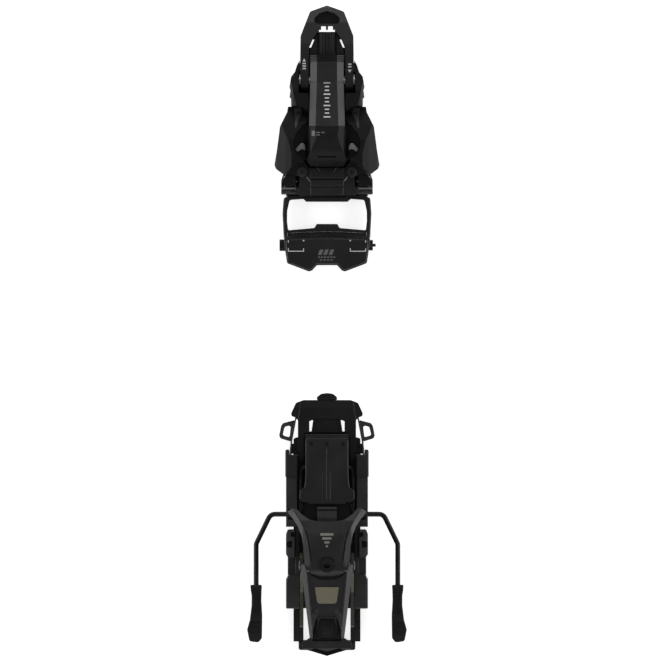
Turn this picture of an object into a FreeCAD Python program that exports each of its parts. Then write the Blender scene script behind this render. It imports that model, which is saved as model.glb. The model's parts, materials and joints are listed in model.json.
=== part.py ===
"""Alpine touring ski binding: toe piece, anti-friction plate and heel piece on one ski's top surface.

Millimetres. +Y points to the ski's tip, +X to the skier's right, +Z up. Z = 0 is the ski's top surface,
and the origin is the middle of the binding's length and width on that surface.
Outlines are drawn for the right-hand side and mirrored.
"""
import FreeCAD, Part
import math
import os

Vector = FreeCAD.Vector

# ---------------------------------------------------------------- driving dimensions
BASE_T = 4.0                # thickness of the two base plates
HOLE_R = 2.9                # clearance hole for a 5.5 mm ski screw
GAP = 0.3                   # air between two moving parts
RUNNING = 0.05              # radial clearance of a pin in its bore

# toe piece
TOE_FRONT_HOLES = (18.0, 207.0)
TOE_REAR_HOLES = (29.0, 142.0)
TOE_AXIS_Z = 26.0           # height of the release spring's axis
BARREL_HALF = 13.2          # half width of the spring barrel
BARREL_FLAT = 8.0           # half width of the barrel's flat top
BARREL_LOW, BARREL_TOP = 12.3, 39.7
BARREL_BORE_R = 9.4
YOKE_TOP = 31.0             # top of the spring's cross yoke
LEVER_PIVOT = (196.5, 24.0)     # Y, Z of the toe lever's axis
LEVER_AXLE_R = 2.5
WING_PIVOT = (22.1, 168.1)      # X, Y of a wing's upright axis
WING_PIN_R = 2.5
WING_PIN_TOP = 29.6
WING_BOSS_R = 7.4
PIN_ARM_PIVOT = (32.8, 7.0)     # X, Z of a pin arm's axis
PIN_ARM_Y = (114.2, 121.2)
TECH_PIN_Z = 15.7

# anti-friction unit
AFD_SHAFT = (67.0, 5.2)         # Y, Z of the height adjuster
AFD_SHAFT_R = 2.0
CARRIER_LOW, CARRIER_TOP = 10.5, 21.5
SOLE_TOE_Z = 24.5               # the boot's toe stands here
WEDGE_X = (4.0, 22.0)
WEDGE_LOW = 9.45                # top of the wedge's thin end
WEDGE_SLOPE = 6.0 / 16.5        # lift per sideways travel of the wedge

# heel piece
TRACK_FRONT, TRACK_REAR = -80.6, -253.8
RAIL_IN, RAIL_OUT, RAIL_TOP = 18.6, 26.5, 7.0
HEEL_HOLES = (12.0, -92.0, -250.0)
CARRIAGE_LOW = RAIL_TOP + 0.4
DECK_TOP = CARRIAGE_LOW + 3.0
ARM_IN, ARM_OUT, ARM_TOP = 23.8, 32.4, 22.0
BRAKE_PIVOT = (-145.9, 19.0)    # Y, Z
BRAKE_HINGE_Y = -109.2
WIRE_R = 2.0
WIRE_IN = 20.5
PEDAL_LOW, PEDAL_TOP = 22.0, 27.0
JAW_PIVOT = (-186.0, 28.0)      # Y, Z
JAW_PIN_R = 3.0
JAW_TOP = 69.5
TREADLE_SEAT = -153.4
LEVER_HINGE = (-188.0, 61.0)    # Y, Z of the heel lever's axis
LEVER_PIN_R = 2.0
LEVER_PIN_X = (9.0, 20.1)
RISER_PIVOT = (-100.5, 15.0)    # Y, Z of the climbing aid's axis
SCREW_Z = 9.4                   # height of the length-adjusting screw
RACK_PITCH = 3.0

PARTS = {}


# ---------------------------------------------------------------- drawing helpers
def place(plane, a, b, level):
    """A point of a drawing plane: XY looks down, YZ looks along X and XZ looks along Y."""
    return {"XY": Vector(a, b, level), "YZ": Vector(level, a, b), "XZ": Vector(a, level, b)}[plane]


def rounded_corner(before, corner, after, radius):
    """Start, middle and end of the arc that rounds a corner of an outline."""
    p, q, r = Vector(*before, 0), Vector(*corner, 0), Vector(*after, 0)
    to_before, to_after = (p - q), (r - q)
    room = 0.49 * min(to_before.Length, to_after.Length)
    to_before.normalize()
    to_after.normalize()
    half_angle = to_before.getAngle(to_after) / 2
    reach = min(radius / math.tan(half_angle), room)
    radius = reach * math.tan(half_angle)
    middle_way = (to_before + to_after).normalize()
    centre = q + middle_way * (radius / math.sin(half_angle))
    return q + to_before * reach, centre - middle_way * radius, q + to_after * reach


def wire(points, plane="XY", level=0.0):
    """Closed wire through (a, b) points. A third number rounds that corner."""
    stops = []
    for i, point in enumerate(points):
        corner, radius = tuple(point[:2]), point[2] if len(point) > 2 else 0
        before, after = points[i - 1][:2], points[(i + 1) % len(points)][:2]
        if radius:
            stops.append(rounded_corner(before, corner, after, radius))
        else:
            stops.append((Vector(*corner, 0),) * 3)
    edges = []
    for i, (start, middle, end) in enumerate(stops):
        here = [place(plane, v.x, v.y, level) for v in (start, middle, end)]
        leave = stops[i - 1][2]
        leave = place(plane, leave.x, leave.y, level)
        if leave.distanceToPoint(here[0]) > 1e-6:
            edges.append(Part.LineSegment(leave, here[0]).toShape())
        if here[0].distanceToPoint(here[2]) > 1e-6:
            edges.append(Part.Arc(*here).toShape())
    return Part.Wire(edges)


def prism(points, low, high, plane="XY"):
    """The outline pushed from one level of its plane to another."""
    along = {"XY": Vector(0, 0, 1), "YZ": Vector(1, 0, 0), "XZ": Vector(0, 1, 0)}[plane]
    return Part.Face(wire(points, plane, low)).extrude(along * (high - low))


def whole(half):
    """A symmetrical outline from its right-hand half, given from one end to the other."""
    other = [(-p[0],) + tuple(p[1:]) for p in reversed(half) if abs(p[0]) > 1e-9]
    return list(half) + other


def box(x, y, z):
    """A block between pairs of limits."""
    low = Vector(min(x), min(y), min(z))
    return Part.makeBox(abs(x[1] - x[0]), abs(y[1] - y[0]), abs(z[1] - z[0]), low)


def rod(radius, start, end):
    """A round bar between two points."""
    start, end = Vector(*start), Vector(*end)
    return Part.makeCylinder(radius, (end - start).Length, start, end - start)


def cross_rod(radius, x, y, z):
    """A round bar along X."""
    return rod(radius, (x[0], y, z), (x[1], y, z))


def long_rod(radius, y, x, z):
    """A round bar along Y."""
    return rod(radius, (x, y[0], z), (x, y[1], z))


def post(radius, x, y, z):
    """A round bar along Z."""
    return rod(radius, (x, y, z[0]), (x, y, z[1]))


def cone(radius_start, radius_end, start, end):
    start, end = Vector(*start), Vector(*end)
    return Part.makeCone(radius_start, radius_end, (end - start).Length, start, end - start)


def join(first, *others):
    return first.fuse(list(others)).removeSplitter()


def cut(first, *others):
    return first.cut(list(others))


def common(first, *others):
    for other in others:
        first = first.common(other)
    return first


def mirrored(shape):
    return shape.mirror(Vector(0, 0, 0), Vector(1, 0, 0))


def pair(shape):
    return Part.makeCompound([shape, mirrored(shape)])


def soften(shape, size, test, chamfer=False):
    """Rounds or bevels the edges that pass the test, down to a third of the size if need be."""
    edges = [e for e in shape.Edges if test(e) and e.Length > size * 0.6]
    make = shape.makeChamfer if chamfer else shape.makeFillet
    for share in (1.0, 0.66, 0.33):
        try:
            made = make(size * share, edges)
        except Exception:
            continue
        if made.isValid() and made.Solids and 0.7 < made.Volume / shape.Volume < 1.02:
            return made
    return shape


def top_edges(level, tolerance=0.05):
    """Test for the edges that lie flat at a height."""
    def test(edge):
        bounds = edge.BoundBox
        return abs(bounds.ZMin - level) < tolerance and abs(bounds.ZMax - level) < tolerance
    return test


def upper_edges(low, flatness=4.0):
    """Test for the edges of a sloping top: above a height, and not upright."""
    def test(edge):
        bounds = edge.BoundBox
        return bounds.ZMin > low and bounds.ZLength < flatness
    return test


def upright(edge):
    bounds = edge.BoundBox
    return bounds.XLength < 0.01 and bounds.YLength < 0.01


def octagon(half, flat, low, top, y):
    """Wire of the barrel's eight-sided section."""
    rise = half - flat
    return wire(whole([(flat, low), (half, low + rise), (half, top - rise), (flat, top)]), "XZ", y)


def ribbed(radius, depth, count, start, end):
    """A round bar with grooves along it, for a knob or an adjuster cap."""
    bar = rod(radius, start, end)
    axis = Vector(*end) - Vector(*start)
    side = axis.cross(Vector(0, 0, 1)) if abs(axis.z) < 0.9 * axis.Length else Vector(1, 0, 0)
    side.normalize()
    up = Vector(axis).normalize().cross(side)
    grooves = []
    for i in range(count):
        turn = 2 * math.pi * i / count
        shift = (side * math.cos(turn) + up * math.sin(turn)) * (radius + depth * 0.4)
        grooves.append(Part.makeCylinder(depth, axis.Length, Vector(*start) + shift, axis))
    return bar.cut(grooves)


def coil(radius, wire_radius, turns, start, end):
    """A helical spring whose axis runs from start to end."""
    start, end = Vector(*start), Vector(*end)
    axis = end - start
    pitch = (axis.Length - 2 * wire_radius) / turns
    path = Part.makeHelix(pitch, pitch * turns, radius)
    section = Part.Wire(Part.makeCircle(wire_radius, Vector(radius, 0, 0), Vector(0, 1, 0)))
    spring = Part.Wire(path.Edges).makePipeShell([section], True, True)
    spring.translate(Vector(0, 0, wire_radius))
    spring.Placement = FreeCAD.Placement(start, FreeCAD.Rotation(Vector(0, 0, 1), axis)) * spring.Placement
    return spring


def cross_recess(x, y, top, size, depth):
    """The cutter of a cross-head drive in an upright screw."""
    bar = box((x - size, x + size), (y - size * 0.28, y + size * 0.28), (top - depth, top + 1))
    other = box((x - size * 0.28, x + size * 0.28), (y - size, y + size), (top - depth, top + 1))
    return bar.fuse(other)


def keep(name, shape):
    """Checks a sub-part's solids and stores them under the node's name."""
    solids = shape.Solids
    if not solids or not all(s.isValid() and s.Volume > 0 for s in solids):
        print("PROBLEM", name, len(solids), [(s.isValid(), round(s.Volume, 1)) for s in solids])
    PARTS[name] = solids[0] if len(solids) == 1 else Part.makeCompound(solids)


def keep_sides(name, shape):
    """Stores a right-hand sub-part and its mirror image as two nodes."""
    keep(name + "_right", shape)
    keep(name + "_left", mirrored(shape))


# ---------------------------------------------------------------- toe piece
NOSE_OUTLINE = [(0, 235.6), (5.9, 235.6, 0.6), (8.5, 232.6, 1), (10.1, 229.0, 1), (12.0, 224.2, 1)]


def toe_baseplate():
    half = NOSE_OUTLINE + [(14.8, 221.4, 1), (19, 216, 3), (25, 205, 4), (27.5, 190, 6), (28.5, 172, 4),
                           (31, 160, 4), (33.8, 150, 4), (33.8, 126, 4), (36.3, 118.5, 2), (36.3, 107.2, 1),
                           (32.4, 107.2), (32.4, 105.7), (0, 105.7)]
    plate = prism(whole(half), 0, BASE_T)
    plate = soften(plate, 0.8, top_edges(BASE_T))
    holes = [post(HOLE_R, side * x, y, (-1, BASE_T + 1)) for side in (1, -1)
             for x, y in (TOE_FRONT_HOLES, TOE_REAR_HOLES)]
    keep("toe_baseplate", cut(plate, *holes))


def toe_spring_housing():
    front = Part.Face(octagon(BARREL_HALF, BARREL_FLAT, BARREL_LOW, BARREL_TOP,
                              195.7)).extrude(Vector(0, 15.8, 0))
    rear = Part.makeLoft([octagon(BARREL_HALF, BARREL_FLAT, BARREL_LOW, BARREL_TOP, 195.7),
                          octagon(14.2, 9.0, BARREL_LOW, 46.5, 160.6)], True, True)
    pedestal = prism(whole([(10.5, 201, 2), (12.5, 190, 2), (12.5, 160.6)]), BASE_T, 20)
    housing = soften(join(front, rear), 1.2, lambda e: e.BoundBox.YLength > 10 and e.BoundBox.ZMin > 20)
    housing = join(housing, pedestal)
    bore = long_rod(BARREL_BORE_R, (212, 166), 0, TOE_AXIS_Z)
    rod_hole = long_rod(3.3, (167, 160), 0, TOE_AXIS_Z)
    inner = Part.Face(octagon(BARREL_HALF - 0.5, BARREL_FLAT - 0.2, BARREL_LOW, BARREL_TOP - 0.5, 194))
    seam = cut(box((-20, 20), (194.9, 195.7), (10, 50)), inner.extrude(Vector(0, 3, 0)))
    axle_seats = [cross_rod(3.6, (side * (BARREL_HALF - 0.2), side * 20), *LEVER_PIVOT) for side in (1, -1)]
    keep("toe_spring_housing", cut(housing, bore, rod_hole, seam, *axle_seats))

    rings = []
    for i in range(3):
        y = 216.9 - 1.8 * i
        rings.append(Part.Face(octagon(13.4, 8.1, 12.1, 39.9, y)).extrude(Vector(0, -1.3, 0)))
        rings.append(Part.Face(octagon(12.7, 7.8, 12.8, 39.2, y)).extrude(Vector(0, -1.8, 0)))
    collar = join(rings[0], *rings[1:])
    collar = cut(collar, long_rod(6.2, (218, 205), 0, TOE_AXIS_Z))
    keep("toe_barrel_collar", collar)


def toe_nose_guard():
    """Six-sided cradle round the adjuster cap, standing on a foot in front of the barrel."""
    guard = prism(whole(NOSE_OUTLINE + [(13.9, 220.6, 1), (13.9, 217.2), (0, 217.2)]), 12, 28)
    guard = soften(guard, 1.8, top_edges(28), chamfer=True)
    foot = box((-7, 7), (217.2, 222), (BASE_T, 12))
    guard = cut(join(guard, foot), long_rod(7.5, (240, 216), 0, TOE_AXIS_Z))
    guard = cut(guard, box((-7.5, 7.5), (216, 240), (TOE_AXIS_Z, 40)))
    keep("toe_nose_guard", guard)


def toe_adjuster():
    cap = ribbed(7.0, 0.8, 18, (0, 217.3, TOE_AXIS_Z), (0, 234.2, TOE_AXIS_Z))
    cap = common(cap, cone(6.4, 12, (0, 234.2, TOE_AXIS_Z), (0, 228.2, TOE_AXIS_Z)).fuse(
        long_rod(12, (228.2, 217), 0, TOE_AXIS_Z)))
    hexagon = Part.makePolygon([Vector(3 * math.cos(a), 234.3, TOE_AXIS_Z + 3 * math.sin(a))
                                for a in [math.radians(60 * i) for i in range(7)]])
    socket = Part.Face(Part.Wire(hexagon)).extrude(Vector(0, -6, 0))
    stem = long_rod(3.0, (217.3, 207.5), 0, TOE_AXIS_Z)
    keep("toe_adjuster_cap", cut(join(cap, stem), socket))


def toe_spring_set():
    keep("toe_release_spring", coil(7.4, 1.35, 7, (0, 166.3, TOE_AXIS_Z), (0, 202.6, TOE_AXIS_Z)))
    disc = long_rod(8.9, (203, 206), 0, TOE_AXIS_Z)
    stem = long_rod(3.0, (145.2, 206), 0, TOE_AXIS_Z)
    keep("toe_piston_rod", join(disc, stem))
    half = [(0, 145.2), (16.4, 145.2), (18.8, 147.6, 1), (21, 147.4, 0.8), (25.4, 142.8, 1), (24, 139.8, 1.2),
            (20.2, 142.6, 1), (16.4, 141.2), (0, 141.2)]
    yoke = prism(whole(half), TOE_AXIS_Z - 2.4, YOKE_TOP)
    keep("toe_spring_yoke", soften(yoke, 0.9, top_edges(YOKE_TOP)))


def toe_hood():
    plan = prism(whole([(0, 160.4), (14.4, 160.4), (15, 157, 3), (17.5, 148, 6), (16.9, 137, 5),
                        (13.4, 129.2, 2), (0, 128.6)]), BASE_T, 60)
    side = prism([(160.4, BASE_T), (160.4, 46.5), (152, 47.4, 12), (140, 44.0, 10), (133.5, 38.5, 5),
                  (128.9, 29), (128.6, BASE_T)], -20, 20, "YZ")
    section = prism(whole([(17.6, BASE_T), (17.6, 34), (13.6, 43.5, 5), (8, 47.6, 6), (0, 48)]), 120, 165,
                    "XZ")
    hood = common(plan, side, section)
    chamber = box((-13, 13), (136.5, 157), (9, 33))
    slot = box((-20, 20), (136.6, 150.2), (22.6, YOKE_TOP + 0.8))
    rod_way = long_rod(3.6, (161, 150), 0, TOE_AXIS_Z)
    vent = prism(whole([(7.2, 137.0, 0.3), (7.2, 135.9, 0.3)]), 39.0, 60)
    hood = cut(hood, chamber, slot, rod_way, vent)
    keep("toe_hood", hood)
    lip = prism(whole([(8.2, 128.5), (5.6, 124.4, 0.8)]), 21.2, 27)
    keep("toe_hood_latch", soften(lip, 1.0, top_edges(27), chamfer=True))


def toe_side_covers():
    """Fixed fenders beside the lever's knuckles. The rear lip overhangs the wing's leading edge."""
    plan = prism([(21.6, 213.1), (23.7, 209.2, 2), (25.4, 203.6, 2), (28.3, 199.9, 1), (29.6, 191.8, 0.6),
                  (28.8, 189.4), (30.4, 176.9, 0.5), (23.7, 176.9), (19.2, 175.5), (15.6, 173.2),
                  (14.6, 173.6), (14.6, 186.8, 0.5), (22.4, 186.8), (22.4, 204), (21.6, 204)], BASE_T, 60)
    side = prism([(213.2, BASE_T), (213.2, 20, 2), (205, 27, 6), (190, 34.5, 10), (176.5, 38), (172, 39),
                  (172, 31.6), (183.6, 31.6, 2), (183.6, BASE_T)], 10, 40, "YZ")
    section = prism([(10, 0), (10, 45), (22, 40, 6), (26.5, 35.5, 2), (31, 26), (31, 0)], 170, 215, "XZ")
    cover = common(plan, side, section)
    keep("toe_side_covers", pair(cover))


def toe_lever():
    outline = whole([(0, 256.6), (13.4, 251.6, 3), (20.9, 232, 5), (21.2, 205.5, 1), (20.6, 203.4, 1),
                     (20.6, 187.6, 3), (14.5, 187.6, 3), (14.5, 222.3, 1), (13.4, 224.6, 1), (11.4, 229.3, 1),
                     (9.1, 232.8, 1), (7.9, 234.4, 1), (6.4, 235.8, 0.5), (6.4, 237.2, 0.5), (0, 237.2)])
    plan = prism(outline, 0, 60)
    pivot_y, pivot_z = LEVER_PIVOT
    side = prism([(187.6, 17.2, 6), (187.6, 30.5, 6), (203.4, 30.5), (205.6, 32.6, 2), (226, 30.8, 8),
                  (243, 27, 10), (254, 22.6, 6), (257, 18.6, 2), (256.6, 14.6, 2), (246, 15.2, 8),
                  (226, 20, 8), (204, 18.4, 6)], -30, 30, "YZ")
    lever = common(plan, side)
    lever = soften(lever, 1.3, lambda e: e.BoundBox.ZMin > 17.5 and e.CenterOfMass.y > 206
                   and e.BoundBox.ZLength < 0.35 * e.Length and (abs(e.CenterOfMass.x) > 15
                                                                 or e.CenterOfMass.y > 251))
    pocket = prism(whole([(0, 251.9), (5.6, 250.3, 3), (10.2, 246.5, 3), (9.6, 241.7, 2.5), (0, 241.7)]),
                   18.2, 40)
    notches = [box((side * 0.9, side * 4.6), (236, 240.0), (0, 60)) for side in (1, -1)]
    bores = cross_rod(LEVER_AXLE_R + RUNNING, (-30, 30), pivot_y, pivot_z)
    keep("toe_lever", cut(lever, pocket, bores, *notches))

    foot = BARREL_HALF - 0.2
    axle = join(cross_rod(LEVER_AXLE_R, (foot, 22.3), pivot_y, pivot_z),
                cross_rod(3.6, (foot, 14.2), pivot_y, pivot_z))
    keep("toe_lever_axles", pair(axle))
    washer = cut(cross_rod(5.6, (20.9, 21.95), pivot_y, pivot_z),
                 cross_rod(LEVER_AXLE_R, (20, 23), pivot_y, pivot_z))
    keep("toe_lever_washers", pair(washer))


def wings():
    x, y = WING_PIVOT
    outline = [(30.8, 176.2, 0.8), (31.4, 172, 2), (37.1, 160.2, 4), (39.5, 142, 20), (41.5, 130.1, 2.5),
               (40.4, 127.2, 2), (34, 122.4, 1), (28.4, 127.2, 3), (22.1, 132.3, 2), (18.4, 134.3, 0.6),
               (20.2, 135.6, 1), (24.3, 138, 3), (26.4, 143.5, 4), (26.4, 149.5, 4), (24.4, 155, 3),
               (19.8, 160, 2), (21, 168), (24, 176.2)]
    plan = join(prism(outline, 0, 60), post(WING_BOSS_R, x, y, (0, 60)))
    side = prism([(178, 15), (178, 29.5), (172, 30.2, 2), (163.5, 38.5, 6), (150, 44.2, 12), (133, 47, 10),
                  (124.5, 44.4, 4), (120, 40), (120, 19.6), (134.6, 19.6, 2), (139, 15, 2)], 0, 60, "YZ")
    section = prism([(12, 0), (12, 43), (22, 45.4, 10), (27.5, 46.4, 3), (33, 42.4, 6), (39.5, 34.5, 3),
                     (42, 29.5, 2), (42, 23, 3), (38.5, 15), (38.5, 0)], 110, 180, "XZ")
    wing = common(plan, side, section)
    wing = soften(wing, 0.8, lambda e: e.CenterOfMass.x > 36 and e.Length > 8)
    wing = cut(wing, post(WING_PIN_R + RUNNING, x, y, (0, WING_PIN_TOP + GAP)))
    keep_sides("toe_wing", wing)
    pin = join(post(WING_PIN_R, x, y, (BASE_T, WING_PIN_TOP)), post(4.6, x, y, (BASE_T, 14.6)))
    keep("toe_wing_pins", pair(pin))


def toe_bridge():
    half = [(0, 128.2), (13.8, 128.2), (17.8, 134, 1), (24, 132.4, 4), (30.5, 126.5, 4), (34.4, 121.6, 1),
            (27, 121.6), (22.2, 121.6, 1), (22.2, 113.6, 1), (23.6, 113.6), (23.6, 106.4, 1.5), (0, 106.4)]
    body = prism(whole(half), BASE_T, 18)
    body = soften(body, 2.6, lambda e: top_edges(18)(e) and abs(e.CenterOfMass.x) > 17.5
                  and e.CenterOfMass.y > 121.7, chamfer=True)
    steps = []
    for i, (front, rear, top) in enumerate([(128.2, 119.6, 21), (119.0, 113.6, 19.6), (113.0, 106.4, 18.4)]):
        step = prism(whole([(13.2, front), (13.6 - 0.3 * i, rear)]), 17.5, top)
        steps.append(soften(step, 0.7, top_edges(top)))
    body = join(body, *steps)
    bolt_x, bolt_y = 19.75, 125.0
    screw_ways = [post(2.0, side * bolt_x, bolt_y, (BASE_T - 1, 19)) for side in (1, -1)]
    keep("toe_bridge", cut(body, *screw_ways))

    head = soften(post(4.0, bolt_x, bolt_y, (18, 19.3)), 0.5, top_edges(19.3))
    screw = cut(join(head, post(2.0, bolt_x, bolt_y, (BASE_T, 18.1))),
                cross_recess(bolt_x, bolt_y, 19.3, 2.4, 1.2))
    keep("toe_bridge_screws", pair(screw))


def pin_arms():
    x, z = PIN_ARM_PIVOT
    low, high = PIN_ARM_Y
    arm = prism([(30.7, 5.2, 1), (34.8, 5.2, 1.5), (34.8, 12.4, 1), (31.9, 18, 0.8), (27.6, 18, 1),
                 (27.6, 13.4, 0.8), (30.7, 12.4, 1)], low, high, "XZ")
    arm = cut(arm, long_rod(1.5 + RUNNING, (low - 1, high + 1), x, z))
    keep_sides("pin_arm", soften(arm, 0.5, lambda e: e.BoundBox.ZMin > 12 and e.BoundBox.YLength < 0.1))
    middle = (low + high) / 2
    pin = join(cross_rod(2.1, (24.6, 27.6), middle, TECH_PIN_Z),
               cone(2.1, 1.0, (24.6, middle, TECH_PIN_Z), (22.9, middle, TECH_PIN_Z)))
    keep_sides("tech_pin", pin)
    axle = long_rod(1.5, (low - 0.8, high + 0.3), x, z)
    keep("pin_arm_axles", pair(axle))


def crampon_bracket():
    """Folded steel channels that hold a ski crampon, one at each end of the bridge."""
    inner, outer = 23.9, 36.3
    web = box((inner, outer), (107.4, 112.8), (BASE_T, 5.2))
    front = box((inner, outer), (111.2, 112.8), (BASE_T, 15.6))
    rear = box((inner, outer), (107.4, 108.8), (BASE_T, 12.0))
    ear = box((inner, 25.1), (110.4, 113.4), (BASE_T, 15.6))
    outer_flange = box((35.1, outer), (112.0, 116.9), (BASE_T, 7.4))
    channel = join(web, front, rear, ear, outer_flange)
    channel = cut(channel, long_rod(1.5, (109.8, 114), *PIN_ARM_PIVOT))
    keep("crampon_bracket", pair(soften(channel, 0.4, top_edges(15.6))))


# ---------------------------------------------------------------- anti-friction unit
def afd_frame():
    outer = whole([(0, 105.6), (31.4, 105.6, 1), (34.4, 104.2, 2.5), (35.3, 92, 20), (34.5, 77, 4),
                   (34.2, 72.4, 0.8), (31.4, 72.4), (31.4, 76.6), (20, 77.2), (0, 78.0)])
    window = whole([(0, 101.4), (16.4, 101.4, 0.8), (18.8, 103.6, 0.8), (29.6, 102.8, 2), (31.5, 94, 8),
                    (31.6, 86, 8), (30.8, 78.8, 1.2), (10, 80.6, 1), (8.2, 83.8, 1), (0, 83.8)])
    ring = cut(prism(outer, 3.0, 9.8), prism(window, 0, 20))
    ring = soften(ring, 1.4, lambda e: top_edges(9.8)(e) and (abs(e.CenterOfMass.x) > 31.9))
    keep("afd_frame", ring)


def afd_unit():
    y, z = AFD_SHAFT
    tray = prism(whole([(0, 77.9), (20, 77.1), (31.3, 76.5), (31.3, 56, 3), (14, 50, 2), (8.5, 54.5, 2),
                        (0, 54.5)]), 0.5, 9.0)
    pocket = box((-14, 23.4), (y - 6.2, y + 6.2), (1.6, 20))
    tray = cut(tray, pocket, cross_rod(AFD_SHAFT_R + RUNNING, (-40, 40), y, z))
    keep("afd_base", tray)

    low = WEDGE_LOW
    high = low + (WEDGE_X[1] - WEDGE_X[0]) * WEDGE_SLOPE
    wedge = prism([(WEDGE_X[0], 1.8), (WEDGE_X[1], 1.8), (WEDGE_X[1], high), (WEDGE_X[0], low)], y - 5.4,
                  y + 5.4, "XZ")
    keep("afd_wedge", cut(wedge, cross_rod(AFD_SHAFT_R + 0.1, (0, 30), y, z)))
    keep("afd_shaft", cross_rod(AFD_SHAFT_R, (-32.8, 33.2), y, z))
    knob = ribbed(4.6, 0.6, 16, (-37.6, y, z), (-32.8, y, z))
    keep("afd_knob", soften(knob, 0.3, lambda e: e.CenterOfMass.x < -37.5))
    lobes = [cross_rod(1.35, (33.2, 36.4), y + 3.0 * math.cos(a), z + 3.0 * math.sin(a))
             for a in [math.radians(72 * i + 90) for i in range(5)]]
    keep("afd_star_nut", join(cross_rod(2.9, (33.2, 36.4), y, z), *lobes, cross_rod(1.2, (36.4, 38.6), y, z)))

    plan = whole([(0, 75.6), (32.4, 74.2, 1), (34.1, 71.5, 1), (32.8, 60.6, 10), (31.6, 52.6, 2),
                  (14.2, 46.0, 2), (11.6, 47.0, 1), (7.9, 51.1, 1), (0, 51.1)])
    shell = prism(plan, CARRIER_LOW, CARRIER_TOP)
    ramp = prism([(77, 16.4), (71.6, 22.5), (77, 30)], -40, 40, "YZ")
    hollow = prism(whole([(0, 73.2), (28.4, 72.8, 1), (28.4, 56, 2), (13, 50.6, 2), (8, 54.4, 1), (0, 54.4)]),
                   CARRIER_LOW - 1, CARRIER_TOP - 2.4)
    foot = low + GAP
    rib = common(prism([(4, foot), (12, foot + 8 * WEDGE_SLOPE), (12, 20), (4, 20)], y - 5, y + 5, "XZ"),
                 box((-40, 40), (40, 80), (CARRIER_LOW, CARRIER_TOP - 2)))
    carrier = join(cut(shell, ramp, hollow), rib)
    carrier = soften(carrier, 1.6, lambda e: top_edges(CARRIER_TOP)(e) and e.CenterOfMass.y < 60,
                     chamfer=True)
    keep("afd_carrier", carrier)

    top = whole([(0, 72.4), (32.6, 71.2, 1.5), (31.9, 61, 8), (30.9, 53.4, 2), (14.2, 47.2, 1.6),
                 (11.8, 48.2, 1), (8.2, 52.2, 1), (0, 52.2)])
    plate = prism(top, CARRIER_TOP + GAP, SOLE_TOE_Z)
    keep("afd_plate", soften(plate, 0.7, top_edges(SOLE_TOE_Z)))


# ---------------------------------------------------------------- heel track
def heel_track():
    front = prism(whole([(0, TRACK_FRONT), (18, TRACK_FRONT, 2), (19.6, -84.4, 2), (26.5, -86, 1.5),
                         (26.5, -99.6, 1), (25, -101), (25, -118), (0, -118)]), 0, BASE_T)
    rails = []
    for side in (1, -1):
        rails.append(box((side * 19.8, side * 25.0), (-96, -247), (0, 5)))
        rails.append(box((side * RAIL_IN, side * RAIL_OUT), (-98, -247), (5, RAIL_TOP)))
    spine = box((-8, 8), (-112, -247), (0, 3.8))
    tie = box((-20, 20), (-160, -167), (0, 3.0))
    rear = prism(whole([(0, -246), (19.8, -246), (22.5, -247), (22.5, TRACK_REAR, 1.5), (0, TRACK_REAR)]), 0,
                 BASE_T)
    track = join(front, spine, tie, rear, *rails)
    x, front_y, rear_y = HEEL_HOLES
    holes = [post(HOLE_R, side * x, y, (-1, 10)) for side in (1, -1) for y in (front_y, rear_y)]
    keep("heel_track", cut(track, *holes))

    teeth = box((-5.5, 5.5), (-150, -243), (3.8, 5.2))
    count = int(93 / RACK_PITCH)
    gaps = [box((-7, 7), (-150 - RACK_PITCH * i - 0.7, -150 - RACK_PITCH * i - RACK_PITCH + 0.7), (4.3, 6))
            for i in range(count)]
    keep("length_rack", cut(teeth, *gaps))
    cap = prism(whole([(0, -247.4), (19, -247.4), (22.5, -248.2), (22.5, TRACK_REAR, 2), (0, TRACK_REAR)]),
                BASE_T, 8.4)
    ways = [post(5.2, side * x, rear_y, (0, 20)) for side in (1, -1)]
    keep("track_end_cap", soften(cut(cap, *ways), 1.0, lambda e: top_edges(8.4)(e)
                                 and e.CenterOfMass.y < -253))


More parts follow.
